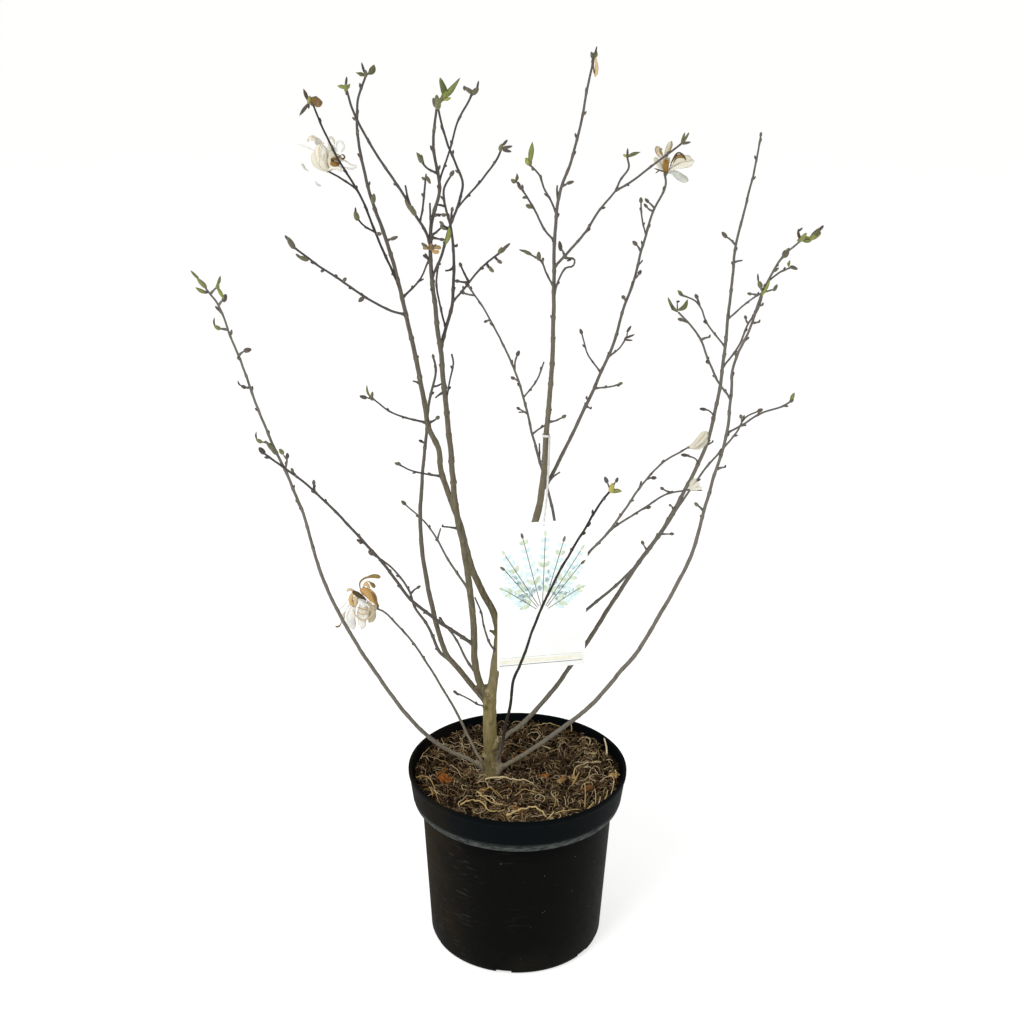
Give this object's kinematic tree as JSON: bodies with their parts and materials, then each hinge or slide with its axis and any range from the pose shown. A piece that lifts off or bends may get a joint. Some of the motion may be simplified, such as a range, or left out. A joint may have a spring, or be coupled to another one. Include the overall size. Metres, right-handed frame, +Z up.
{
  "type": "magnolia tree",
  "caption": "Young star magnolia in a round black nursery pot: short forked trunk, long wiry stems, open sprays of thin twigs with swelling buds and spent star flowers, plain hanging label.",
  "frame": {"origin": "centre of the pot's flat underside", "axes": "+Z up along the pot's axis, +X to the right and -Y to the viewer in the front view"},
  "size_m": [0.6805, 0.4407, 1.1236],
  "materials": {
    "pot": "near-black moulded plastic, satin, dusty and lightly scratched",
    "soil": "dark brown fibrous peat compost, matt",
    "bark": "olive-tan young bark, smooth with fine ridges and knots",
    "twigs": "purplish grey-brown shoots with olive buds and pale petals",
    "label": null
  },
  "bodies": {
    "root": {"pot": "pot", "soil": "soil", "trunk": "bark", "back_left_bough": "bark", "back_middle_bough": "bark", "back_right_bough": "bark", "far_left_bough": "bark", "far_right_bough": "bark", "front_bough": "bark", "left_back_bough": "bark", "left_front_bough": "bark", "left_low_bough": "bark", "middle_bough": "bark", "right_inner_bough": "bark", "back_left_twigs": "twigs", "back_middle_twigs": "twigs", "back_right_twigs": "twigs", "far_left_twigs": "twigs", "far_right_twigs": "twigs", "front_twigs": "twigs", "left_back_twigs": "twigs", "left_behind_twigs": "twigs", "left_front_twigs": "twigs", "left_inner_twigs": "twigs", "left_low_side_twigs": "twigs", "left_low_twigs": "twigs", "left_sweep_twigs": "twigs", "middle_side_twigs": "twigs", "middle_twigs": "twigs", "right_behind_twigs": "twigs", "right_flower_twigs": "twigs", "right_inner_twigs": "twigs", "trunk_side_twigs": "twigs", "label": "label"}
  },
  "joints": []
}
